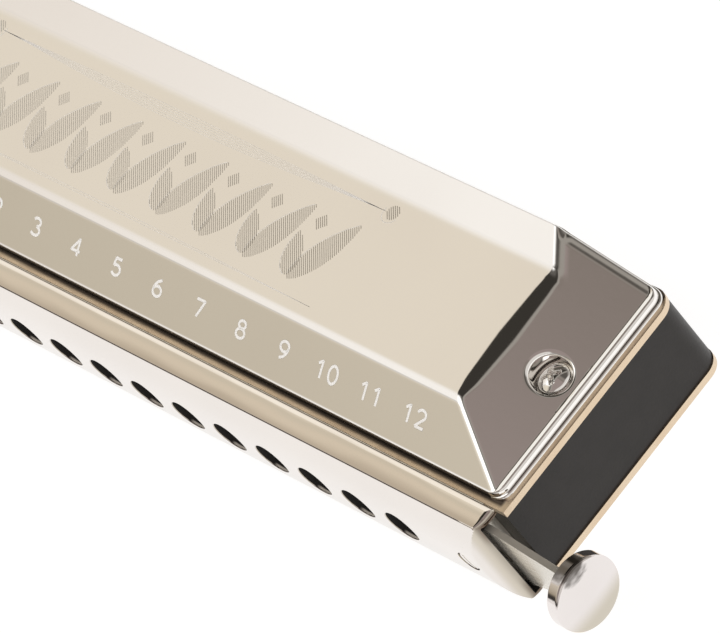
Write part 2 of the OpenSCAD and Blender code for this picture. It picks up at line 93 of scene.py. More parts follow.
# Covers
SHEET = 0.5
LEDGE_Z = PLATE_TOP + 1.4
COVER_HALF = COVER_HI[0]
COVER_FRONT = COVER_LO[1]
COVER_BACK = COVER_HI[1]
LEDGE_Y = COVER_FRONT + 0.5
LEDGE_X = COVER_HALF - 1.25
FRONT_RIDGE_Y = 9.25
REAR_BEND_Y = 29.9
REAR_LIP_Y = 35.3
REAR_TAN = (COVER_HI[2] - PANEL_Z) / (REAR_LIP_Y - REAR_BEND_Y)
FRONT_TAN = (PANEL_Z - LEDGE_Z) / (FRONT_RIDGE_Y - LEDGE_Y)
END_TAN = math.tan(math.radians(22.5))
SOUND_HALF = COMB_HALF - 13.5
SCREW_XY = np.array([COMB_HALF - 5.8, 18.4])
POCKET_R = 2.75
POCKET_LIP = 0.6
POCKET_FLOOR = PLATE_TOP + 1.1

# Mouthpiece
NOSE_Y = MOUTH_LO[1]
MOUTH_HALF = MOUTH_HI[0]
MOUTH_Z = MOUTH_HI[2]
MOUTH_BACK = MOUTH_HI[1]
CREASE_Y = -3.92
MOUTH_END_R = 4.0
RECESS_Y = mm_box("slide_front_plate")[0][1]
RECESS_Z = 7.22
RECESS_LEFT = -MOUTH_HALF + 0.9
MOUTH_SCREW_X = COMB_HALF - 6.5
MOUTH_SEAT = -NOSE_Y - 0.9
END_CX = MOUTH_HALF - MOUTH_END_R
END_CY = NOSE_Y + MOUTH_END_R


def hole_x(k):
    return (k - (HOLES - 1) / 2) * PITCH


# ---- mesh building


def smin(a, b, k):
    """Lower of two heights with a rounded ridge, k being half the blend's height."""
    h = np.maximum(k - np.abs(a - b), 0) / k
    return np.minimum(a, b) - h * h * k / 4


def smax(a, b, k):
    return -smin(-a, -b, k)


def unit(v):
    return v / np.maximum(np.linalg.norm(v, axis=-1, keepdims=True), 1e-12)


def add_object(name, data):
    piece = bpy.data.objects.new(name, data)
    bpy.context.scene.collection.objects.link(piece)
    return piece


def attach(piece, body, node=None):
    """Rides a piece on a body, in place of a CAD node if one is given."""
    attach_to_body(piece, body)
    if node:
        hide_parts(node)


UPSIDE_DOWN = np.array([1, 1, -1])


class Shape:
    """Patches of quads that carry their own normals, in millimetres."""

    def __init__(self):
        self.points, self.normals, self.faces = [], [], []
        self.total = 0

    def patch(self, points, normals, keep=None, wrap=False, slot=0):
        """Adds a grid of points, with a normal for each or one for all."""
        rows, cols = points.shape[:2]
        index = np.arange(rows * cols).reshape(rows, cols)
        if wrap:
            index = np.concatenate([index, index[:, :1]], axis=1)
        quads = np.stack([index[:-1, :-1], index[1:, :-1], index[1:, 1:], index[:-1, 1:]], -1)
        if keep is not None:
            quads = quads[keep]
        quads = quads.reshape(-1, 4) + self.total
        self.points.append(points.reshape(-1, 3))
        self.normals.append(unit(np.broadcast_to(normals, points.shape).reshape(-1, 3)))
        self.faces += [(quad, slot) for quad in quads.tolist()]
        self.total += rows * cols

    def polygon(self, points, normal):
        self.points.append(points)
        self.normals.append(np.tile(np.array(normal, float), (len(points), 1)))
        self.faces.append((list(range(self.total, self.total + len(points))), 0))
        self.total += len(points)

    def welded(self):
        """Shared points, and faces as (point ids, corner normals, slot)."""
        points, normals = np.vstack(self.points), np.vstack(self.normals)
        key = np.round(points / 2e-4).astype(np.int64)
        _, first, inverse = np.unique(key, axis=0, return_index=True, return_inverse=True)
        inverse = inverse.reshape(-1)
        shared = points[first]
        faces = []
        for face, slot in self.faces:
            ids, own = [], []
            for corner in face:
                i = int(inverse[corner])
                if i not in ids:
                    ids.append(i)
                    own.append(normals[corner])
            if len(ids) < 3:
                continue
            p = shared[ids]
            area = np.cross(p[1:-1] - p[0], p[2:] - p[0]).sum(axis=0)
            way = -1 if np.dot(area, np.sum(own, axis=0)) < 0 else 1
            faces.append((ids[::way], own[::way], slot))
        return shared, faces

    def build(self, name, materials, thickness=0.0, mirror=False):
        points, faces = self.welded()
        if thickness:
            points, faces = thicken(points, faces, thickness)
        if mirror:
            points = points * UPSIDE_DOWN
            faces = [(ids[::-1], [n * UPSIDE_DOWN for n in own[::-1]], slot)
                     for ids, own, slot in faces]
        face_ids, face_normals, slots = zip(*faces)
        mesh = bpy.data.meshes.new(name)
        mesh.from_pydata((points / 1000 + ORIGIN).tolist(), [], face_ids)
        for material in materials:
            mesh.materials.append(material)
        mesh.polygons.foreach_set("use_smooth", [True] * len(faces))
        mesh.polygons.foreach_set("material_index", slots)
        mesh.normals_split_custom_set([n.tolist() for own in face_normals for n in own])
        return add_object(name, mesh)


def thicken(points, faces, thickness):
    """Gives an open skin an inner side and closes it along its free edges."""
    mean = np.zeros_like(points)
    for ids, own, _ in faces:
        for i, n in zip(ids, own):
            mean[i] += n
    count = len(points)
    both = np.vstack([points, points - unit(mean) * thickness])
    edges = {(a, b): True for ids, _, _ in faces for a, b in zip(ids, ids[1:] + ids[:1])}
    shell = list(faces)
    for ids, own, slot in faces:
        shell.append(([i + count for i in ids[::-1]], [-n for n in own[::-1]], slot))
    for a, b in edges:
        if (b, a) not in edges:
            ids = [b, a, a + count, b + count]
            p = both[ids]
            shell.append((ids, [unit(np.cross(p[2] - p[0], p[3] - p[1]))] * 4, 0))
    return both, shell


def lift(height, a, b, to_xyz):
    """Points and normals of the height field over plan points a, b."""
    e = 1e-3
    h = height(a, b)
    da = height(a + e, b) - height(a - e, b)
    db = height(a, b + e) - height(a, b - e)
    normals = np.stack([-da, -db, np.full_like(h, 2 * e)], -1)
    return to_xyz(a, b, h), unit(to_xyz(*np.moveaxis(normals, -1, 0)))


def up_axes(a, b, h):
    return np.stack([a, b, h], -1)


def front_axes(a, b, h):
    """Plan over X and Z, height towards the player."""
    return np.stack([a, -h, b], -1)


def back_axes(a, b, h):
    return np.stack([a, h, b], -1)


def square_ring(a, b):
    """Plan points round a rectangular block of grid lines, one per line."""
    low = np.c_[a[:-1], np.full(len(a) - 1, b[0])]
    right = np.c_[np.full(len(b) - 1, a[-1]), b[:-1]]
    top = np.c_[a[:0:-1], np.full(len(a) - 1, b[-1])]
    left = np.c_[np.full(len(b) - 1, a[0]), b[:0:-1]]
    return np.vstack([low, right, top, left])


def numeric_normals(points, guide):
    """Normals of a wrapped patch from its own points, turned to agree with guide."""
    along = np.roll(points, -1, axis=1) - np.roll(points, 1, axis=1)
    n = unit(np.cross(np.gradient(points, axis=0), along))
    return -n if np.sum(n[0] * guide[0]) < 0 else n


def bend(a, c, b, t):
    """Point at t of the curve that leaves a towards c and arrives at b from c."""
    return (1 - t) ** 2 * a + 2 * t * (1 - t) * c + t * t * b


def fillet_rows(a, c, b, steps):
    return [bend(a, c, b, t) for t in np.linspace(0, 1, steps)]


LIP_ROW = 12  # the lip's last row, where the wall of the hole begins


def cell_ring(a, b, centre, half):
    """Line ranges of a square block round centre, and the plan points round it."""
    i0, i1 = find(a, centre[0] - half), find(a, centre[0] + half)
    j0, j1 = find(b, centre[1] - half), find(b, centre[1] + half)
    return (i0, i1, j0, j1), square_ring(a[i0:i1 + 1], b[j0:j1 + 1])


def hole_cell(shape, height, to_xyz, a, b, centre, half, r, lip, below, wall_slot=None):
    """Fills a square block of a height field with a round hole that has a rounded lip.

    below lists the rings under the lip as (radius, height), which may have a slot of their own.
    Returns the block's line ranges.
    """
    block, ring = cell_ring(a, b, centre, half)
    way = unit(ring - centre)
    outer = centre + way * (r + lip)
    rows, normals = [], []
    for s in np.linspace(0, 1, 6):
        q, n = lift(height, *(ring * (1 - s) + outer * s).T, to_xyz)
        rows.append(q)
        normals.append(n)
    top = height(*(centre + way * r).T)
    start = height(*outer.T)
    rings = [(bend(r + lip, r, r, t), bend(start, top, top - lip, t))
             for t in np.linspace(0, 1, 8)[1:]]
    for radius, h in rings + below:
        rows.append(to_xyz(*(centre + way * radius).T, h + 0 * top))
    points = np.array(rows)
    found = numeric_normals(points, np.array(normals))
    found[: len(normals)] = normals
    cut = len(points) if wall_slot is None else LIP_ROW
    shape.patch(points[: cut + 1], found[: cut + 1], wrap=True)
    if wall_slot is not None:
        shape.patch(points[cut:], found[cut:], wrap=True, slot=wall_slot)
    return block


def field(shape, height, to_xyz, a, b, blocks, warp=None, slot=0):
    """A height field on grid lines a, b, leaving out blocks given as line ranges."""
    ga, gb = np.meshgrid(a, b, indexing="ij")
    keep = np.ones((len(a) - 1, len(b) - 1), bool)
    for i0, i1, j0, j1 in blocks:
        keep[i0:i1, j0:j1] = False
    if warp:
        ga, gb = warp(ga, gb)
    points, normals = lift(height, ga, gb, to_xyz)
    shape.patch(points, normals, keep=keep, slot=slot)


def merge_lines(*parts):
    """Sorted grid lines, near-duplicates dropped; a tuple is a span's start, end and count."""
    parts = [np.linspace(*p) if isinstance(p, tuple) else p for p in parts]
    lines = np.unique(np.round(np.concatenate(parts), 6))
    return lines[np.concatenate([[True], np.diff(lines) > 1e-5])]


def find(lines, value):
    return int(np.argmin(np.abs(lines - value)))


# ---- materials


class Nodes:
    """Short hand for wiring a node tree."""

    def __init__(self, tree):
        self.tree = tree
        self.tree.nodes.clear()

    def add(self, kind, inputs={}, **settings):
        node = self.tree.nodes.new(kind)
        for key, value in settings.items():
            setattr(node, key, value)
        for key, value in inputs.items():
            self.feed(node.inputs[key], value)
        return node

    def split(self, vector):
        return self.add("ShaderNodeSeparateXYZ", {0: vector}).outputs

    def facing(self):
        """The three parts of the surface's direction."""
        return self.split(self.add("ShaderNodeNewGeometry").outputs["Normal"])

    def feed(self, socket, value):
        """Links a socket, or sets it; colours are given without their alpha."""
        if isinstance(value, bpy.types.NodeSocket):
            self.tree.links.new(value, socket)
        else:
            socket.default_value = (*value, 1.0) if socket.type == "RGBA" else value

    def math(self, operation, *values):
        return self.add("ShaderNodeMath", dict(enumerate(values)), operation=operation).outputs[0]

    def both(self, a, b):
        return self.math("MULTIPLY", a, b)

    def size(self, value):
        return self.math("ABSOLUTE", value)

    def ramp(self, value, low, high, to_low=0.0, to_high=1.0, kind="SMOOTHSTEP"):
        return self.add("ShaderNodeMapRange", dict(enumerate((value, low, high, to_low, to_high))),
                        interpolation_type=kind).outputs[0]

    def mix(self, factor, a, b):
        return self.add("ShaderNodeMix", {0: factor, 6: a, 7: b}, data_type="RGBA").outputs[2]

    def noise(self, vector, scale, detail=3.0, rough=0.5):
        return self.add("ShaderNodeTexNoise", {
            "Vector": vector, "Scale": scale, "Detail": detail, "Roughness": rough}).outputs[0]

    def stretch(self, vector, x, y, z):
        return self.add("ShaderNodeMapping", {"Vector": vector, "Scale": (x, y, z)}).outputs[0]


def surface(name, color, dark, metallic, rough, swing=0.2, grain=900.0, bump=0.1,
            stretch=(1, 1, 1), blotch=300.0, extra=None, more={}):
    """Principled material: broad colour blotches, fine grain in roughness and height.

    extra changes the base colour, and more sets further inputs of the shader.
    """
    material = bpy.data.materials.new(name)
    material.use_nodes = True
    n = Nodes(material.node_tree)
    where = n.add("ShaderNodeTexCoord").outputs["Object"]
    broad = n.noise(where, blotch, 2.0)
    fine = n.noise(n.stretch(where, *stretch), grain, 4.0, 0.6)
    base = n.mix(n.ramp(broad, 0.35, 0.7, 0.0, 0.5), color, dark)
    if extra:
        base = extra(n, where, base)
    gloss = n.ramp(fine, 0.3, 0.75, rough, rough + swing, "LINEAR")
    height = n.add("ShaderNodeBump", {"Strength": bump, "Distance": 0.0001, "Height": fine})
    shader = n.add("ShaderNodeBsdfPrincipled", {
        "Base Color": base, "Roughness": gloss, "Metallic": metallic,
        "Normal": height.outputs[0], **more})
    n.add("ShaderNodeOutputMaterial", {0: shader.outputs[0]})
    return material


def facet_tint(n, where, base):
    """Painted reflections and shade on the mouthpiece: bands of painted reflection across its flat
    upper and lower faces, painted shade where it faces down and on its ends, darkest at the ends'
    top and bottom, and a dark line of painted shade along the crease.
    """
    side, _, down = n.facing()
    side = n.size(side)
    up = n.size(down)
    x, y, z = n.split(where)
    flat = n.ramp(up, 0.982, 0.99)
    back = ORIGIN[1] + MOUTH_BACK / 1000
    wave = n.noise(n.stretch(where, 1, 6, 6), 45.0, 2.0)
    y = n.math("ADD", y, n.ramp(wave, 0.3, 0.7, -0.0003, 0.0003))
    # bands of painted reflection across the flat faces, from the back edge forwards
    light = (0.90, 0.865, 0.81)
    tone = n.mix(n.ramp(y, back - 0.0005, back - 0.0012), light, (0.72, 0.68, 0.615))
    tone = n.mix(n.ramp(y, back - 0.0012, back - 0.0019), tone, (0.78, 0.72, 0.645))
    tone = n.mix(n.ramp(y, back - 0.0020, back - 0.0033), tone, (0.58, 0.525, 0.465))
    tone = n.mix(n.ramp(y, back - 0.0037, back - 0.0042), tone, (0.47, 0.425, 0.385))
    base = n.mix(flat, base, tone)
    # painted shade where the surface faces down
    base = n.mix(n.ramp(down, 0.05, -0.22), base, (0.62, 0.585, 0.545))
    base = n.mix(n.ramp(down, -0.22, -0.32), base, (0.50, 0.47, 0.44))
    # painted shade on the ends, darkest at their top and bottom
    base = n.mix(n.ramp(side, 0.45, 0.8), base, (0.60, 0.55, 0.47))
    base = n.mix(n.ramp(side, 0.75, 0.97), base, (0.37, 0.335, 0.28))
    tip = n.ramp(n.size(n.math("SUBTRACT", z, ORIGIN[2])), 0.0030, 0.0064)
    base = n.mix(n.both(n.ramp(side, 0.8, 0.97), tip), base, (0.17, 0.13, 0.10))
    # a dark line of painted shade along the crease near the nose
    edge = n.both(n.ramp(up, 0.74, 0.79), n.ramp(up, 0.99, 0.97))
    inside = n.ramp(n.size(x), END_CX / 1000 + 0.001, END_CX / 1000)
    edge = n.both(edge, inside)
    front = n.ramp(y, ORIGIN[1] - 0.003, ORIGIN[1] - 0.0035)
    return n.mix(n.both(edge, front), base, (0.12, 0.10, 0.09))


def faded_left(n, where, base):
    """Engraved lines are worn and pale towards the left end."""
    return n.mix(n.ramp(n.split(where)[0], 0.045, -0.02, 0.0, 0.85), base, (0.70, 0.66, 0.59))


def hole_glint(n, where, base):
    """A painted highlight: a light band on the lower wall of a mouth hole, near the nose."""
    y = n.split(where)[1]
    lip = ORIGIN[1] + NOSE_Y / 1000
    near = n.both(n.ramp(n.facing()[2], 0.8, 0.95), n.ramp(y, lip + 0.0007, lip + 0.0005))
    near = n.both(near, n.ramp(y, lip + 0.0002, lip + 0.0003))
    return n.mix(near, base, (0.70, 0.65, 0.58))


def button_tint(n, where, base):
    """The button is painted beige grey towards its lower side, a painted reflection, and has a
    dark patch on its upper side.
    """
    y, z = n.split(where)[1:]
    y = n.math("SUBTRACT", y, ORIGIN[1] + (BUTTON_LO[1] + BUTTON_HI[1]) / 2000)
    z = n.math("SUBTRACT", z, ORIGIN[2])
    # painted reflection: beige grey towards the lower side
    base = n.mix(n.ramp(z, -0.0004, -0.0036, 0.0, 0.9), base, (0.59, 0.545, 0.455))
    wave = n.noise(n.stretch(where, 1, 1, 4), 330.0, 3.0)
    aside = n.math("DIVIDE", n.math("SUBTRACT", y, 0.0003), 0.0021)
    above = n.math("DIVIDE", n.math("SUBTRACT", z, 0.0048), 0.0014)
    spot = n.math("ADD", n.both(aside, aside), n.both(above, above))
    spot = n.math("ADD", spot, n.ramp(wave, 0.3, 0.7, -0.5, 0.5))
    return n.mix(n.ramp(spot, 1.4, 0.1, 0.0, 0.92), base, (0.10, 0.09, 0.08))


def plate_shade(n, where, base):
    """A reed plate darkens where the cover's front skirt stands over it."""
    x, y, _ = n.split(where)
    foot = ORIGIN[1] + COVER_FRONT / 1000
    end = COVER_HALF / 1000
    flat = n.ramp(n.size(n.facing()[2]), 0.8, 0.95)
    near = n.both(n.ramp(y, foot - 0.0007, foot - 0.0001), flat)
    near = n.both(near, n.ramp(n.size(x), end + 0.0003, end - 0.0003))
    return n.mix(near, base, (0.10, 0.08, 0.065))


CHROME = surface("Chrome", (0.92, 0.905, 0.88), (0.89, 0.87, 0.845), 1.0, 0.045, 0.035,
                 bump=0.012, blotch=45.0)
# The mouthpiece's chrome carries painted reflections and painted shade.
MOUTH_CHROME = surface("MouthChrome", (0.80, 0.76, 0.725), (0.76, 0.72, 0.685), 1.0, 0.05,
                       0.035, bump=0.012, blotch=45.0, extra=facet_tint)
SKIRT_SHADE = surface("SkirtShade", (0.05, 0.045, 0.04), (0.03, 0.027, 0.025), 1.0, 0.2,
                      bump=0.05, blotch=250.0)
SLIDE_CHROME = surface("SlideChrome", (0.70, 0.66, 0.58), (0.62, 0.58, 0.50), 0.62, 0.12, 0.16,
                       500.0, 0.05, stretch=(1, 6, 6), blotch=180.0)
# The button's chrome carries a painted reflection and a dark patch.
BUTTON_CHROME = surface("ButtonChrome", (0.80, 0.76, 0.745), (0.76, 0.72, 0.70), 1.0, 0.07,
                        0.06, 700.0, 0.02, blotch=120.0, extra=button_tint)
BRASS = surface("Brass", (0.76, 0.62, 0.46), (0.69, 0.53, 0.37), 1.0, 0.24, 0.18, 420.0, 0.08,
                stretch=(1, 9, 9), blotch=220.0, extra=plate_shade)
REED_BRASS = surface("ReedBrass", (0.86, 0.70, 0.42), (0.72, 0.55, 0.30), 1.0, 0.30,
                     grain=700.0, bump=0.12, stretch=(9, 1, 1))
COMB_PLASTIC = surface("CombPlastic", (0.027, 0.024, 0.022), (0.021, 0.019, 0.017), 0.0, 0.36,
                       0.12, 2600.0, 0.22, more={"Specular IOR Level": 0.3})
# Painted shade: the walls inside the mouth holes and the slide's recess are near black, with a
# painted highlight low in each hole.
PAINTED_HOLE_SHADE = surface("HoleShade", (0.012, 0.011, 0.010), (0.02, 0.018, 0.016), 0.0, 0.5,
                    extra=hole_glint)
STEEL = surface("Steel", (0.66, 0.65, 0.63), (0.5, 0.49, 0.47), 1.0, 0.22, stretch=(1, 1, 7))
FILM = surface("ValveFilm", (0.80, 0.79, 0.72), (0.70, 0.68, 0.60), 0.0, 0.45, blotch=200.0)
RUBBER = surface("Rubber", (0.05, 0.05, 0.05), (0.03, 0.03, 0.03), 0.0, 0.7, 0.15, 1500.0, 0.2)
# The numbers' white fill glows a little: painted light.
DIGIT_FILL = surface("DigitFill", (0.97, 0.965, 0.94), (0.91, 0.90, 0.87), 0.0, 0.5, grain=1500.0,
                     more={"Emission Color": (1.0, 0.98, 0.95), "Emission Strength": 0.12})
ENGRAVED = surface("EngravedLine", (0.50, 0.46, 0.39), (0.44, 0.40, 0.33), 0.6, 0.42,
                   grain=1500.0, extra=faded_left)
BRIGHT_LINE = surface("BrightLine", (0.97, 0.95, 0.92), (0.92, 0.90, 0.86), 0.4, 0.35,
                      grain=1500.0)


# ---- covers


def front_profile(y):
    slope = LEDGE_Z + (y - LEDGE_Y) * FRONT_TAN
    panel = PANEL_Z + y * 0
    band = PANEL_Z + (y - REAR_BEND_Y) * REAR_TAN
    return smin(slope, smax(panel, band, 0.22), 0.5)


def ease(value, low, high):
    t = np.clip((value - low) / (high - low), 0, 1)
    return t * t * (3 - 2 * t)


def cover_height(x, y):
    profile = front_profile(y)
    rise = LEDGE_X - np.abs(x)
    crest = (profile - LEDGE_Z) / END_TAN
    ends = LEDGE_Z + rise * END_TAN
    ends = ends - 0.03 * np.clip(rise - crest + 2.0, 0, 2.6) ** 2 * ease(y, 28, 31)
    rear = np.maximum(y - COVER_BACK + 2.1, 0) ** 2 * 0.17
    round_ = np.interp(y, [1.5, 5, 8.3, 9.6, 10.6, 12, 19.5, 27, 29.0, 29.9, 30.4, 36],
                       [0.42, 0.42, 0.42, 0.3, 0.42, 0.58, 0.8, 0.66, 0.55, 0.28, 0.15, 0.15])
    top = smin(profile, ends, round_) - rear * ease(crest - rise, -0.3, 1.2)
    ledge = LEDGE_Z - 0.24 * np.maximum(LEDGE_Y - y, 0) + 0.2 * np.maximum(-rise, 0)
    ledge = ledge - 0.05 * ease(LEDGE_Y + 1.5 - y, 0, 1.5)
    return smax(top, ledge, 0.07)


def corner_warp(half, front, back, r, block):
    """Bends the corners of a rectangular plan grid into arcs of radius r."""
    def warp(x, y):
        x, y = x.copy(), y.copy()
        for sx in (-1, 1):
            for sy, edge in ((-1, front), (1, back)):
                cx, cy = sx * (half - block), edge - sy * block
                u, v = (x - cx) * sx, (y - cy) * sy
                hit = (u > 1e-9) & (v > 1e-9)
                big = np.where(hit, np.maximum(u, v), 1.0)
                size = np.maximum(np.hypot(u, v), 1e-9)
                du, dv = u / size, v / size
                square = block / np.maximum(np.maximum(du, dv), 1e-9)
                c = block - r
                along = du * c + dv * c
                rounded = along + np.sqrt(np.maximum(along ** 2 - 2 * c * c + r * r, 0))
                on_arc = (square * du > c) & (square * dv > c)
                rounded = np.where(on_arc, np.minimum(rounded, square), square)
                scale = 1 + (rounded / square - 1) * (big / block) ** 2
                x = np.where(hit, cx + sx * u * scale, x)
                y = np.where(hit, cy + sy * v * scale, y)
        return x, y
    return warp


PLAN_R = 1.8
RIM_OUT = 1.05
RIM_FRONT = 0.25
RIM_BACK = 0.6
FLANGE = 0.45


def skirt_profile():
    """Outward share and drop of the skirt's rows: a roll, a groove and a second roll."""
    t = np.radians(np.linspace(0, 90, 9)[1:])
    rows = [(0.48 * math.sin(a), 0.80 * (1 - math.cos(a))) for a in t]
    rows += [(0.49, 0.84), (0.52, 0.87), (0.57, 0.88)]
    rows += [(0.57 + 0.43 * math.sin(a), 0.88 + 0.38 * (1 - math.cos(a))) for a in t[1:]]
    return rows


def cover_shape():
    shape = Shape()
    half = COVER_HALF + FLANGE - RIM_OUT
    front = COVER_FRONT + RIM_FRONT
    back = COVER_BACK - RIM_BACK
    block = 4.0
    ridge = LEDGE_X - (PANEL_Z - LEDGE_Z) / END_TAN
    reach = 2.6
    steps = merge_lines((-reach, -0.6, 12), (-0.5, 0.5, 11), (0.6, reach, 12))
    right = merge_lines(ridge + steps, (SCREW_XY[0] - block, SCREW_XY[0] + block, 25),
                        [LEDGE_X], (half - 3.0, half, 22))
    inner = ridge - reach
    xs = merge_lines(-right, (-inner, inner, 48), right)
    low, high = SCREW_XY[1] - block, SCREW_XY[1] + block
    ys = merge_lines((front, LEDGE_Y + 0.3, 7), (LEDGE_Y + 0.3, 8.0, 18), (8.0, 10.5, 17),
                     (10.5, low, 7), (low, high, 25), (high, 28.4, 13), (28.4, 31.4, 21),
                     (31.4, back, 14), (front, front + 3.0, 22), (back - 3.0, back, 18))
    round_corners = corner_warp(half, front, back, PLAN_R, 3.0)

    def warp(x, y):
        """Moves the columns near the end ridges along them, then rounds the corners."""
        crest = np.minimum(LEDGE_X - (front_profile(y) - LEDGE_Z) / END_TAN, LEDGE_X)
        far = np.minimum(reach, 0.6 * (half - crest))
        size = np.abs(x)
        a = size / inner * (crest - reach)
        b = crest - reach + (size - inner)
        c = crest + (size - ridge) / reach * far
        outer = ridge + reach
        d = crest + far + (size - outer) / (half - outer) * (half - crest - far)
        size = np.where(size < inner, a, np.where(size < ridge, b, np.where(size < outer, c, d)))
        return round_corners(np.sign(x) * size, y)

    below = [(POCKET_R, POCKET_FLOOR + 0.3), (POCKET_R - 0.09, POCKET_FLOOR + 0.09),
             (POCKET_R - 0.3, POCKET_FLOOR), (1.2, POCKET_FLOOR)]
    blocks = [hole_cell(shape, cover_height, up_axes, xs, ys, SCREW_XY * [side, 1], block,
                        POCKET_R, POCKET_LIP, below) for side in (-1, 1)]
    field(shape, cover_height, up_axes, xs, ys, blocks, warp)

    rim = square_ring(xs, ys)
    p = np.stack(warp(*rim.T), -1)
    out = unit(p - np.clip(p, [PLAN_R - half, front + PLAN_R], [half - PLAN_R, back - PLAN_R]))
    start, start_n = lift(cover_height, *p.T, up_axes)
    share_x = out[:, :1] ** 2
    back_side = out[:, 1:] > 0
    margin = RIM_OUT * share_x + np.where(back_side, RIM_BACK, RIM_FRONT) * (1 - share_x)
    rows = [start]
    for share, drop in skirt_profile():
        edge = p + out * margin * share
        rows.append(np.c_[edge, start[:, 2] - drop])
    rows.append(np.c_[edge, np.full(len(p), PLATE_TOP)])
    points = np.array(rows)
    normals = numeric_normals(points, start_n[None])
    normals[0] = start_n
    normals[-1] = np.c_[out, np.zeros(len(out))]
    keep = np.ones((len(points) - 1, len(p)), bool)
    inside = (np.abs(edge[:, 0]) < SOUND_HALF + 1e-3) & (edge[:, 1] > COVER_BACK - 0.01)
    keep[-1, inside & np.roll(inside, -1)] = False
    foot = np.zeros_like(keep)
    foot[3:] = (out[:, 1] < -0.99) & (np.roll(out[:, 1], -1) < -0.99)
    shape.patch(points, normals, keep=keep & ~foot, wrap=True)
    shape.patch(points, normals, keep=keep & foot, wrap=True, slot=1)
    return shape


cover = cover_shape()
cover_upper = cover.build("cover_upper", [CHROME, SKIRT_SHADE], thickness=SHEET)
cover_lower = cover.build("cover_lower", [CHROME, SKIRT_SHADE], thickness=SHEET, mirror=True)
attach(cover_upper, "body", "upper_cover")
attach(cover_lower, "body", "lower_cover")


# ---- screw heads


def head_shape(centre, z0, r, h, dome, recess, drop, to_xyz=up_axes):
    """A domed screw head whose drive recess is cut by recess(x, y) from 0 to 1."""
    shape = Shape()
    edge = 0.28
    a = np.linspace(0, 2 * math.pi, 96, endpoint=False)

    def height(x, y):
        x, y = x - centre[0], y - centre[1]
        return z0 + h - dome * (np.hypot(x, y) / r) ** 2 - drop * recess(x, y)

    def ring(radius, z):
        return to_xyz(centre[0] + radius * np.cos(a), centre[1] + radius * np.sin(a), z + 0 * a)

    radius, angle = np.meshgrid(np.linspace(0.02, r - edge, 34), a, indexing="ij")
    points, normals = lift(height, centre[0] + radius * np.cos(angle),
                           centre[1] + radius * np.sin(angle), to_xyz)
    shape.patch(points, normals, wrap=True)
    shape.polygon(points[0], normals[0].mean(axis=0))
    crown = z0 + h - dome
    inner = crown + dome * (1 - ((r - edge) / r) ** 2)
    rim = [ring(bend(r - edge, r, r, t), bend(inner, crown, crown - edge, t))
           for t in np.linspace(0, 1, 7)]
    rim = np.array(rim + [ring(r, z0)])
    shape.patch(rim, numeric_normals(rim, normals[-1][None]), wrap=True)
    return shape


def step(value, soft):
    """1 where value is below 0, falling to 0 over soft."""
    return ease(-value, -soft / 2, soft / 2)


def cross_recess(half_l, half_w, turn):
    c, s = math.cos(turn), math.sin(turn)

    def mask(x, y):
        u, v = np.abs(c * x + s * y), np.abs(c * y - s * x)
        return step(np.minimum(u, v) - half_w, 0.16) * step(np.maximum(u, v) - half_l, 0.3)
    return mask


def slot_recess(half_w, turn):
    c, s = math.cos(turn), math.sin(turn)
    return lambda x, y: step(np.abs(x * s + y * c) - half_w, 0.12)


def add_screw(kind, node, side, material, head, mirror=False):
    """Builds a screw's head; the right-hand one of a pair stands for the CAD node."""
    piece = head.build(kind + ("_right" if side > 0 else "_left"), [material], mirror=mirror)
    attach(piece, "body", node if side > 0 else None)


SCREW_HEAD_R = 2.4
for side in (-1, 1):
    centre = SCREW_XY * [side, 1]
    cross = cross_recess(1.35, 0.30, math.radians(20 + 25 * side))
    slot = slot_recess(0.3, math.radians(35 - 60 * side))
    add_screw("cover_screw", "cover_screws", side, CHROME,
              head_shape(centre, POCKET_FLOOR, SCREW_HEAD_R, 1.75, 0.85, cross, 0.8))
    add_screw("cover_sleeve", "cover_sleeve_nuts", side, CHROME,
              head_shape(centre, POCKET_FLOOR, SCREW_HEAD_R, 1.6, 0.7, slot, 0.6), mirror=True)


# ---- mouthpiece

BULGE_SLOPE = 0.07
BULGE_Z = 1.5
NOSE_DROP = (CREASE_Y - NOSE_Y - BULGE_SLOPE * (math.hypot(MOUTH_Z, BULGE_Z) - BULGE_Z)
             ) / MOUTH_Z ** 4


def nose_depth(z):
    """How far the nose stands in front of the comb at height z."""
    return -NOSE_Y - BULGE_SLOPE * (np.hypot(z, BULGE_Z) - BULGE_Z) - NOSE_DROP * z ** 4


def nose_normal(z):
    tilt = BULGE_SLOPE * z / np.hypot(z, BULGE_Z) + 4 * NOSE_DROP * z ** 3
    return unit(np.stack([0 * z, 0 * z - 1, tilt], -1))


def mouth_height(x, z):
    beyond = np.clip(np.abs(x) - END_CX, 0, MOUTH_END_R - 1e-6)
    plan = -END_CY + np.sqrt(MOUTH_END_R ** 2 - beyond ** 2)
    return smin(nose_depth(z), plan, 0.12)


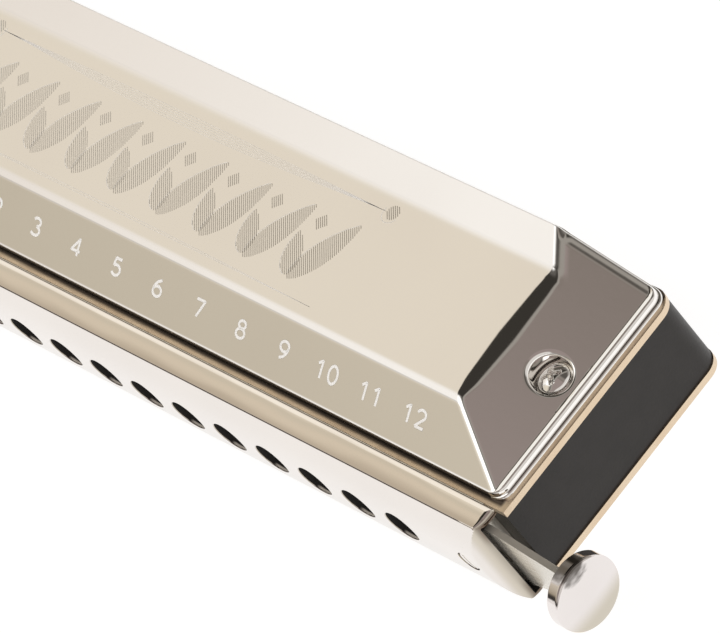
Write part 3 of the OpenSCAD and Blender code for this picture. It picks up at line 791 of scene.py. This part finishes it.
def mouth_shape():
    shape = Shape()
    cell = PITCH / 2
    low = np.linspace(-cell, cell, 19)
    xs = merge_lines(*[hole_x(k) + low for k in range(HOLES)])
    edge_x = xs[-1]
    screw = 3.0
    end_x = MOUTH_SCREW_X + screw
    tail = merge_lines((edge_x, MOUTH_SCREW_X - screw, 9), (MOUTH_SCREW_X - screw, end_x, 13))
    xs = merge_lines(-tail, xs, tail)
    top = MOUTH_Z - 0.12
    outer_z = merge_lines((cell, RECESS_Z, 7), [7.6, top])
    zs = merge_lines(low, outer_z, -outer_z)
    below = [(HOLE_R, 5.2), (HOLE_R, 4.6), (HOLE_R, 4.0), (HOLE_R, -RECESS_Y)]
    blocks = [hole_cell(shape, mouth_height, front_axes, xs, zs, (hole_x(k), 0.0), cell,
                        HOLE_R, 0.2, below, wall_slot=1) for k in range(HOLES)]
    below = [(1.75, MOUTH_SEAT - 0.1), (1.2, MOUTH_SEAT - 0.15)]
    blocks += [hole_cell(shape, mouth_height, front_axes, xs, zs, (side * MOUTH_SCREW_X, 0.0),
                         screw, 1.75, 0.12, below) for side in (-1, 1)]
    field(shape, mouth_height, front_axes, xs, zs, blocks)

    # closed plan path from the right end round the back to the left end, as x, y and the
    # outward direction; the end arc has a point where the slide's recess begins
    r = 0.12
    quarter = math.pi / 2

    def arc(cx, cy, radius, turns):
        out = np.c_[np.sin(turns), -np.cos(turns)]
        return np.c_[[cx, cy] + radius * out, out]

    turns = np.linspace(math.asin((end_x - END_CX) / MOUTH_END_R), quarter, 46)
    split = math.acos((END_CY - RECESS_Y) / MOUTH_END_R)
    turns = turns[END_CY - MOUTH_END_R * np.cos(turns) < RECESS_Y - 1e-3]
    turns = np.r_[turns, np.linspace(split, quarter, 12)]
    side_y = np.linspace(END_CY, MOUTH_BACK - r, 10)[1:, None]
    right = np.vstack([arc(END_CX, END_CY, MOUTH_END_R, turns),
                       side_y * [0, 1, 0, 0] + [MOUTH_HALF, 0, 1, 0],
                       arc(MOUTH_HALF - r, MOUTH_BACK - r, r,
                           np.linspace(quarter, 2 * quarter, 5)[1:])])
    rear = np.linspace(MOUTH_HALF - r, r - MOUTH_HALF, 40)[1:-1, None]
    rear = rear * [1, 0, 0, 0] + [0, MOUTH_BACK, 0, 1]
    path = np.vstack([right, rear, right[::-1] * [-1, 1, -1, 1]])
    path_x, path_y, out_x, out_y = path.T
    wall_z = merge_lines(zs, (-RECESS_Z, RECESS_Z, 49))
    wall_z = wall_z[np.abs(wall_z) < top - 1e-6]

    def wall(z_of):
        """Points and normals of the path's wall at the heights z_of, one per path point."""
        z = z_of + 0 * path_x
        nose = -nose_depth(z)
        front = out_y < 0
        k = 0.12
        y = np.where(front, smax(path_y, nose, k), path_y)
        w = np.where(front, ease(path_y - nose, -k, k), 1.0)[:, None]
        out = np.stack([out_x, out_y, 0 * z], -1)
        return np.stack([path_x, y, z], -1), unit(nose_normal(z) * (1 - w) + out * w)

    # how much each path point's upper and lower edge is rounded
    straight = path_y > END_CY + 1e-6
    turn = np.where(straight, 90, np.degrees(np.arctan2(np.abs(out_x), -out_y)))
    rear_in, end_in = 0.9, 1.0
    at_back = np.clip(out_y, 0, 1)
    soft = np.interp(turn, [0, 50, 66, 84, 90], [r, r, 0.6, end_in, end_in])
    soft = soft * (1 - at_back) + 0.16 * at_back
    limit = MOUTH_Z - soft
    rows = [wall(np.clip(z, -limit, limit)) for z in wall_z]
    base, base_n = wall(limit)
    tip, _ = wall(MOUTH_Z - 0.085 * at_back)
    flat_n = unit(np.c_[base_n[:, :2], 0 * soft])
    inward = tip - flat_n * soft[:, None]
    inward[:, 2] = MOUTH_Z
    inward[straight, 0] = np.clip(path_x, end_in - MOUTH_HALF, MOUTH_HALF - end_in)[straight]
    inward[:, 1] = np.minimum(inward[:, 1], MOUTH_BACK - rear_in)
    crown = np.array(fillet_rows(base, tip, inward, 8))
    crown_n = unit(np.cross(np.gradient(crown, axis=1), np.gradient(crown, axis=0)))
    outward = np.sum(crown_n * (base_n[None] + [0, 0, 1]), axis=-1, keepdims=True)
    crown_n = np.where(outward < 0, -crown_n, crown_n)
    crown_n[0] = base_n
    crown_n[-1] = [0, 0, 1]

    def both_faces(points, normals):
        shape.patch(points, normals)
        shape.patch(points * UPSIDE_DOWN, normals * UPSIDE_DOWN)

    both_faces(crown, crown_n)
    body = np.array([base * UPSIDE_DOWN, *(q for q, _ in rows), base])
    body_n = np.array([base_n * UPSIDE_DOWN, *(n for _, n in rows), base_n])
    mid = (path[:-1] + path[1:]) / 2
    opening = np.abs(body[:-1, :-1, 2] + body[1:, 1:, 2]) / 2 < RECESS_Z - 1e-3
    opening &= (mid[:, 1] > RECESS_Y + 1e-6) & (mid[:, 0] > RECESS_LEFT - 0.5)
    shape.patch(body, body_n, keep=~opening)

    # flat upper and lower faces, the long crease between them and the nose
    a = np.array([0, -nose_depth(top), top])
    c = np.array([0, -nose_depth(MOUTH_Z), MOUTH_Z])
    crease = np.array(fillet_rows(a, c, c + [0, r, 0], 8))[:, None] + xs[:, None] * [1, 0, 0]
    t = np.linspace(0, 1, 8)[:, None, None]
    crease_n = unit(nose_normal(np.array(top)) * (1 - t) + np.array([0, 0, 1.0]) * t)
    both_faces(crease, np.broadcast_to(crease_n, crease.shape))
    facet = np.vstack([crease[-1], inward])
    shape.polygon(facet, [0, 0, 1])
    shape.polygon(facet * UPSIDE_DOWN, [0, 0, -1])

    # recess for the slide, open at the button end
    inner_z = merge_lines(low, (cell, RECESS_Z, 4), (-RECESS_Z, -cell, 4))
    inner_x = merge_lines(xs[xs > RECESS_LEFT], [RECESS_LEFT, MOUTH_HALF - 0.002])
    blocks = []
    for k in range(HOLES):
        centre = (hole_x(k), 0.0)
        block, ring = cell_ring(inner_x, inner_z, centre, cell)
        blocks.append(block)
        out = centre + unit(ring - centre) * HOLE_R
        rows = np.array([back_axes(*q.T, RECESS_Y + 0 * q[:, 0])
                         for q in (ring, (ring + out) / 2, out)])
        shape.patch(rows, [0.0, 1.0, 0.0], wrap=True, slot=1)
    field(shape, lambda x, z: RECESS_Y + 0 * x, back_axes, inner_x, inner_z, blocks, slot=1)
    depth = np.linspace(RECESS_Y, MOUTH_BACK, 4)
    gx, gy = np.meshgrid(inner_x, depth, indexing="ij")
    for s in (-1, 1):
        roof = np.stack([gx, gy, np.full_like(gx, s * RECESS_Z)], -1)
        shape.patch(roof, [0.0, 0.0, -float(s)], slot=1)
    gz, gy = np.meshgrid(inner_z, depth, indexing="ij")
    shape.patch(np.stack([np.full_like(gz, RECESS_LEFT), gy, gz], -1), [1.0, 0.0, 0.0], slot=1)
    return shape


mouth = mouth_shape().build("mouthpiece_shell", [MOUTH_CHROME, PAINTED_HOLE_SHADE])
attach(mouth, "body", "mouthpiece")
for side in (-1, 1):
    slot = slot_recess(0.16, math.radians(30 + 40 * side))
    add_screw("mouth_screw", "mouthpiece_screws", side, MOUTH_CHROME,
              head_shape((side * MOUTH_SCREW_X, 0.0), MOUTH_SEAT, 1.68, 0.84, 0.1, slot, 0.3,
                         front_axes))


# ---- button


def button_shape():
    shape = Shape()
    face_x, back_x = BUTTON_HI[0], BUTTON_LO[0]
    centre_y = (BUTTON_LO[1] + BUTTON_HI[1]) / 2
    r = (BUTTON_HI[2] - BUTTON_LO[2]) / 2
    dome = 0.42
    soft = 0.55

    def crown(rad):
        return face_x - dome * (rad / r) ** 2

    profile = [(rad, crown(rad)) for rad in np.linspace(0.02, r - soft, 16)]
    c = np.array([r, crown(r)])
    profile += fillet_rows(np.array(profile[-1]), c, c - [0, soft], 10)[1:]
    heel = np.array([r, back_x])
    profile += fillet_rows(heel + [0, 0.25], heel, heel - [0.25, 0], 6)
    profile = np.array(profile + [(r - 1.5, back_x), (1.0, back_x), (0.02, back_x)])
    angle = np.linspace(0, 2 * math.pi, 128, endpoint=False)
    rad, ang = np.meshgrid(profile[:, 0], angle, indexing="ij")
    x = profile[:, 1:] + 0 * ang
    points = np.stack([x, centre_y + rad * np.cos(ang), rad * np.sin(ang)], -1)
    d = np.gradient(profile, axis=0)
    n2 = unit(np.c_[-d[:, 1], d[:, 0]])
    n2[:16] = unit(np.c_[2 * dome * profile[:16, 0] / r ** 2, np.ones(16)])
    n2[-3:] = [0, -1]
    n = np.stack([n2[:, 1:] + 0 * ang, n2[:, :1] * np.cos(ang), n2[:, :1] * np.sin(ang)], -1)
    shape.patch(points, n, wrap=True)
    shape.polygon(points[0], [1, 0, 0])
    shape.polygon(points[-1], [-1, 0, 0])
    return shape


button = button_shape().build("button_disc", [BUTTON_CHROME])
attach(button, "slide", "slide_button")


# ---- pieces taken from CAD shapes


def softened(node, name, material, body, width, change=None):
    """A copy of a CAD node with clean flat faces and slightly rounded edges."""
    mesh = frame["nodes"][node].data.copy()
    mesh.name = name
    bm = bmesh.new()
    bm.from_mesh(mesh)
    bmesh.ops.remove_doubles(bm, verts=bm.verts, dist=2e-6)
    bmesh.ops.dissolve_limit(bm, angle_limit=math.radians(1), verts=bm.verts, edges=bm.edges)
    if change:
        change(bm)
    bm.to_mesh(mesh)
    bm.free()
    if mesh.has_custom_normals:
        mesh.attributes.remove(mesh.attributes["custom_normal"])
    mesh.materials.clear()
    mesh.materials.append(material)
    mesh.polygons.foreach_set("use_smooth", [True] * len(mesh.polygons))
    piece = add_object(name, mesh)
    bevel = piece.modifiers.new("edges", "BEVEL")
    bevel.width = width / 1000
    bevel.segments = 2
    bevel.limit_method = "ANGLE"
    bevel.angle_limit = math.radians(35)
    bevel.harden_normals = True
    attach(piece, body, node)


def shorten_plate(bm):
    """Ends a guide plate inside the mouthpiece, so the slide's gap shows."""
    limit = ORIGIN[0] + (MOUTH_HALF - 1.5) / 1000
    for v in bm.verts:
        if v.co.x > limit:
            v.co.x = limit - 0.0015


softened("comb", "comb_body", COMB_PLASTIC, "body", 0.14)
softened("upper_reed_plate", "reed_plate_upper", BRASS, "body", 0.07)
softened("lower_reed_plate", "reed_plate_lower", BRASS, "body", 0.07)
softened("slide_plate", "slide_blade", SLIDE_CHROME, "slide", 0.1)
softened("slide_back_plate", "guide_back", SLIDE_CHROME, "body", 0.06,
         shorten_plate)
softened("slide_front_plate", "guide_front", SLIDE_CHROME, "body", 0.06,
         shorten_plate)


# ---- numbers and ornament

SLOPE_ANGLE = math.atan(FRONT_TAN)
DIGIT_HEIGHT = 2.55
DIGIT_Y = 5.12
DIGIT_SHIFT = 0.25


def strip(shape, line, width, place, rise=0.014):
    """A narrow raised strip with sloped sides along a line drawn on place's plane."""
    line = np.asarray(line, float)
    way = unit(np.gradient(line, axis=0))
    side = np.c_[-way[:, 1], way[:, 0]]
    offsets = ((-0.5, 0.0), (-0.3, rise), (0.3, rise), (0.5, 0.0))
    rows = np.array([place(line + side * width * o, h) for o, h in offsets])
    up = unit(place(line, 1.0) - place(line, 0.0))
    across = unit(rows[-1] - rows[0])
    normals = np.array([unit(up - across * 0.5), up, up, unit(up + across * 0.5)])
    shape.patch(rows, normals)


def bow(cx, cy, rx, ry, start=0, end=360):
    """Points of an elliptical arc between two angles in degrees."""
    a = np.radians(np.linspace(start, end, max(4, int(abs(end - start) / 15))))
    return np.c_[cx + rx * np.cos(a), cy + ry * np.sin(a)]


def pen(*points):
    """A polyline with extra points so that its strip bends cleanly."""
    out = []
    for a, b in zip(points, points[1:]):
        a, b = np.array(a, float), np.array(b, float)
        out += [a, a * 0.94 + b * 0.06, a * 0.06 + b * 0.94]
    out.append(np.array(points[-1], float))
    return np.array(out)


SIX = [bow(0.30, 0.29, 0.25, 0.27), bow(0.62, 0.31, 0.57, 0.65, 180, 106)]
GLYPHS = {
    "0": [bow(0.30, 0.50, 0.25, 0.47)],
    "1": [pen((0.12, 0.76), (0.34, 0.95), (0.34, 0.03))],
    "2": [np.vstack([bow(0.29, 0.71, 0.24, 0.25, 165, -30), pen((0.06, 0.05), (0.56, 0.05))])],
    "3": [bow(0.28, 0.73, 0.22, 0.22, 150, -85), bow(0.28, 0.27, 0.26, 0.24, 85, -150)],
    "4": [pen((0.43, 0.03), (0.43, 0.95), (0.04, 0.28), (0.58, 0.28))],
    "5": [pen((0.52, 0.94), (0.15, 0.94), (0.10, 0.52)), bow(0.28, 0.32, 0.25, 0.28, 130, -150)],
    "6": SIX,
    "7": [pen((0.05, 0.94), (0.55, 0.94), (0.23, 0.03))],
    "8": [bow(0.30, 0.74, 0.20, 0.21), bow(0.30, 0.27, 0.25, 0.25)],
    "9": [np.array([0.6, 1.0]) - line for line in SIX],
}


def on_slope(cx, cy):
    """Places glyph points on the front slope around cx, cy."""
    up = np.array([0.0, math.cos(SLOPE_ANGLE), math.sin(SLOPE_ANGLE)])
    out = np.array([0.0, -math.sin(SLOPE_ANGLE), math.cos(SLOPE_ANGLE)])
    at = np.array([cx, cy, LEDGE_Z + (cy - LEDGE_Y) * FRONT_TAN])

    def place(p, h):
        return at + p[:, :1] * [1.0, 0.0, 0.0] + p[:, 1:] * up + (h - 0.003) * out
    return place


def number(k):
    """The hole's number; the low octave's four have a dot over them."""
    low = k < LOW_HOLES
    text = str(k + 1 if low else k - LOW_HOLES + 1)
    place = on_slope(hole_x(k) + DIGIT_SHIFT, DIGIT_Y)
    fill, edge = Shape(), Shape()
    step_x = 0.74
    wide = np.array([1.35, 1.0])
    left = -(0.6 + step_x * (len(text) - 1)) / 2
    lines = [(line + [left + i * step_x, -0.5]) * wide * DIGIT_HEIGHT
             for i, char in enumerate(text) for line in GLYPHS[char]]
    if low:
        lines.append(bow(0, 0.72 * DIGIT_HEIGHT, 0.10, 0.10))
    # each white stroke lies on a wider dark strip: its engraved outline, and in part a painted
    # shadow
    for line in lines:
        strip(edge, line, 0.58, place, 0.008)
        strip(fill, line, 0.45, place, 0.03)
    name = "number_" + ("low_" if low else "") + text
    for shape, material, part in ((fill, DIGIT_FILL, ""), (edge, ENGRAVED, "_edge")):
        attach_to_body(shape.build(name + part, [material]), "body")


for k in range(HOLES):
    number(k)


HATCH_GAP = 0.31


def on_panel(p, h):
    return np.c_[p, np.full(len(p), PANEL_Z - 0.003 + h)]


def hatch_fill(shape, inside, centre, reach, width=0.14):
    """Fills a plan shape on the panel with strips from front right to back left."""
    way = np.array([-1.0, 1.0]) / math.sqrt(2)
    over = np.array([1.0, 1.0]) / math.sqrt(2)
    t = np.linspace(-reach, reach, 160)
    for d in np.arange(-reach, reach, HATCH_GAP):
        p = centre + over * d + t[:, None] * way
        hit = inside(p)
        if hit.sum() < 3:
            continue
        first, last = np.argmax(hit), len(hit) - 1 - np.argmax(hit[::-1])
        strip(shape, p[[first, (first + last) // 2, last]], width, on_panel)


def leaf_half(t, width):
    """Half the width at t of a leaf that is broadest below its middle."""
    return width / 2 * np.sin(np.pi * t ** 0.8) ** 0.75


def leaf(hatch, bright, centre, lean, length, width):
    """A slanted hatched leaf with one bright edge."""
    way = np.array([math.cos(lean), math.sin(lean)])
    side = np.array([-way[1], way[0]])

    def inside(p):
        along = (p - centre) @ way / length + 0.5
        half = leaf_half(np.clip(along, 0, 1), width)
        return (along > 0) & (along < 1) & (np.abs((p - centre) @ side) < half)

    hatch_fill(hatch, inside, centre, 7.5)
    t = np.linspace(0.03, 0.97, 26)
    edge = np.outer((t - 0.5) * length, way) + np.outer(leaf_half(t, width) * 1.05, side)
    strip(bright, centre + edge, 0.10, on_panel)


def ornament():
    """Broad hatched leaves under a fan of fine lines, a plain generic decoration."""
    hatch, bright = Shape(), Shape()
    mid_y = (FRONT_RIDGE_Y + REAR_BEND_Y) / 2
    count = 9
    for i in range(count):
        cx = (i - (count - 1) / 2) * 9.4
        leaves = [(64, 0.0, -0.6, 12.4, 4.0), (116, 4.7, -2.6, 7.2, 3.2)]
        for turn, shift, rise, length, width in leaves[:1 if i == count - 1 else 2]:
            leaf(hatch, bright, np.array([cx + shift, mid_y + rise]), math.radians(turn), length,
                 width)
        if i < count - 1:
            dot = np.array([cx + 5.4, mid_y + 2.9])
            hatch_fill(hatch, lambda p, c=dot: np.abs(p - c).sum(axis=1) < 1.35, dot, 1.4)
    reach = 42.0
    xx = np.linspace(-reach, reach, 120)
    sag = (1 - (xx / reach) ** 2) ** 1.4
    arcs = [8.1 - sag * (0.35 * j - 0.4) for j in range(6)]
    for rise in arcs + [sag * 0.35 * j - 8.3 for j in range(2)]:
        strip(bright, np.c_[xx, mid_y + rise], 0.075, on_panel)
    for s in (-1, 1):
        dot = np.array([s * (reach + 1.3), mid_y + 8.3])
        hatch_fill(hatch, lambda p, c=dot: np.hypot(*(p - c).T) < 1.15, dot, 1.2, 0.15)
        curl = bow(dot[0] - s * 0.2, dot[1] - 0.2, 1.5, 1.5, 160 if s > 0 else 20,
                   340 if s > 0 else -160)
        strip(bright, curl, 0.12, on_panel)
    for shape, material, name in ((hatch, ENGRAVED, "hatch"), (bright, BRIGHT_LINE, "line")):
        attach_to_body(shape.build("ornament_" + name, [material]), "body")


ornament()


# ---- carried-over CAD nodes

KEPT = (
    (REED_BRASS, "upper_blow_reeds upper_draw_reeds lower_blow_reeds lower_draw_reeds "
                 "upper_reed_rivets lower_reed_rivets spring_post"),
    (FILM, "upper_windsavers lower_windsavers"),
    (STEEL, "upper_plate_screws lower_plate_screws spring_coil spring_arm"),
    (RUBBER, "slide_bumper"),
)
for material, names in KEPT:
    for node in names.split():
        data = frame["nodes"][node].data
        data.materials.clear()
        data.materials.append(material)


# ---- floor, light and camera

floor_z = CAD_BOX[0].z
floor_mesh = bpy.data.meshes.new("floor")
FLOOR_HALF = 6.0
cuts = np.linspace(-1, 1, 9) * FLOOR_HALF
grid = [(float(x), float(y), floor_z) for x in cuts for y in cuts]
quads = [(i * 9 + j, (i + 1) * 9 + j, (i + 1) * 9 + j + 1, i * 9 + j + 1)
         for i in range(8) for j in range(8)]
floor_mesh.from_pydata(grid, [], quads)
floor = add_object("floor", floor_mesh)
floor_mesh.materials.append(surface(
    "Floor", (0.30, 0.295, 0.29), (0.29, 0.285, 0.28), 0.0, 0.9, 0.05, 40.0, 0.0, blotch=3.0,
    more={"Emission Color": (1.0, 1.0, 1.0), "Emission Strength": 0.85}))

# soft studio surroundings: pale below, grey above, with a few broad panels of light
world = bpy.data.worlds.new("studio")
bpy.context.scene.world = world
world.use_nodes = True
n = Nodes(world.node_tree)
x, y, z = n.split(n.add("ShaderNodeTexCoord").outputs["Generated"])
left = n.ramp(x, -0.62, -0.67)
near = n.ramp(x, -0.20, -0.30)
taupe = n.mix(n.ramp(z, 0.2, 0.75), (0.38, 0.325, 0.235), (0.77, 0.70, 0.59))
beige = n.mix(n.ramp(y, 0.10, 0.30), (0.80, 0.73, 0.62), (0.80, 0.72, 0.61))
cream = n.both(n.ramp(y, 0.25, 0.31), n.ramp(y, 0.47, 0.42))
beige = n.mix(cream, beige, (0.99, 0.925, 0.84))
beige = n.mix(n.ramp(x, -0.81, -0.87), beige, (0.98, 0.96, 0.92))
sky = n.mix(n.ramp(y, 0.18, 0.24), (0.32, 0.265, 0.25), (0.235, 0.20, 0.178))
sky = n.mix(n.ramp(y, 0.26, 0.31), sky, (0.26, 0.23, 0.205))
sky = n.mix(n.ramp(y, 0.36, 0.50), sky, (0.10, 0.09, 0.08))
color = n.mix(n.ramp(z, 0.75, 0.2), sky, (0.42, 0.39, 0.36))
contour = n.both(n.ramp(x, -0.07, -0.11), n.ramp(z, 0.45, 0.6))
color = n.mix(contour, color, (0.34, 0.315, 0.285))
gap = n.both(n.ramp(x, -0.15, -0.21), n.ramp(z, 0.45, 0.6))
black = n.mix(n.ramp(y, 0.15, 0.05), (0.04, 0.036, 0.031), (0.12, 0.11, 0.10))
color = n.mix(gap, color, black)
color = n.mix(n.both(left, n.ramp(y, -0.12, -0.06)), color, beige)
dark_back = n.both(n.ramp(y, 0.42, 0.52), n.ramp(x, -0.2, -0.5))
color = n.mix(dark_back, color, (0.10, 0.09, 0.075))
color = n.mix(n.both(n.ramp(y, -0.38, -0.42), n.ramp(x, -0.2, -0.4)), color, taupe)
panel = n.mix(n.ramp(x, -0.76, -0.69), (0.86, 0.80, 0.74), (1.02, 0.99, 0.955))
panel = n.mix(n.ramp(x, -0.62, -0.52), panel, (1.6, 1.58, 1.55))
edge = n.mix(left, n.ramp(y, 0.03, -0.12), n.ramp(y, 0.14, -0.14))
white_box = n.both(n.both(n.ramp(y, -0.45, -0.34), edge), n.both(near, n.ramp(z, 0.15, 0.3)))
color = n.mix(white_box, color, panel)
low = n.both(n.ramp(z, 0.36, 0.24), n.ramp(y, -0.3, -0.5))
color = n.mix(low, color, (0.05, 0.045, 0.04))
right_box = n.both(n.ramp(x, 0.35, 0.5), n.ramp(z, 0.1, 0.25))
right_box = n.both(right_box, n.ramp(z, 0.85, 0.7))
color = n.mix(right_box, color, (0.74, 0.71, 0.68))
color = n.mix(n.ramp(z, 0.14, 0.11), color, (0.93, 0.90, 0.875))
light = n.add("ShaderNodeBackground", {"Color": color, "Strength": 1.0})
n.add("ShaderNodeOutputWorld", {0: light.outputs[0]})

light = bpy.data.lights.new("overhead", "AREA")
light.shape = "RECTANGLE"
light.size = light.size_y = 2.2
light.energy = 9.0
lamp = add_object("overhead", light)
lamp.location = (0.1, 0.0, 1.4)
lamp.rotation_mode = "QUATERNION"
lamp.rotation_quaternion = (-lamp.location).to_track_quat("-Z", "Y")
lamp.visible_glossy = False

CAMERA_AT = Vector((COMB_HI.x + 0.682, -0.2136, 0.69965))
CAMERA_RIGHT = Vector((0.62822154, 0.60985774, -0.48312653))
CAMERA_UP = Vector((-0.30848259, 0.765306, 0.56492939))
camera_data = bpy.data.cameras.new("camera")
camera_data.lens = 387.6
camera = add_object("camera", camera_data)
turn = Matrix((CAMERA_RIGHT, CAMERA_UP, CAMERA_RIGHT.cross(CAMERA_UP))).transposed()
camera.rotation_mode = "QUATERNION"
camera.rotation_quaternion = turn.to_quaternion()
camera.location = CAMERA_AT
bpy.context.scene.camera = camera
bpy.context.scene.view_settings.view_transform = "Standard"
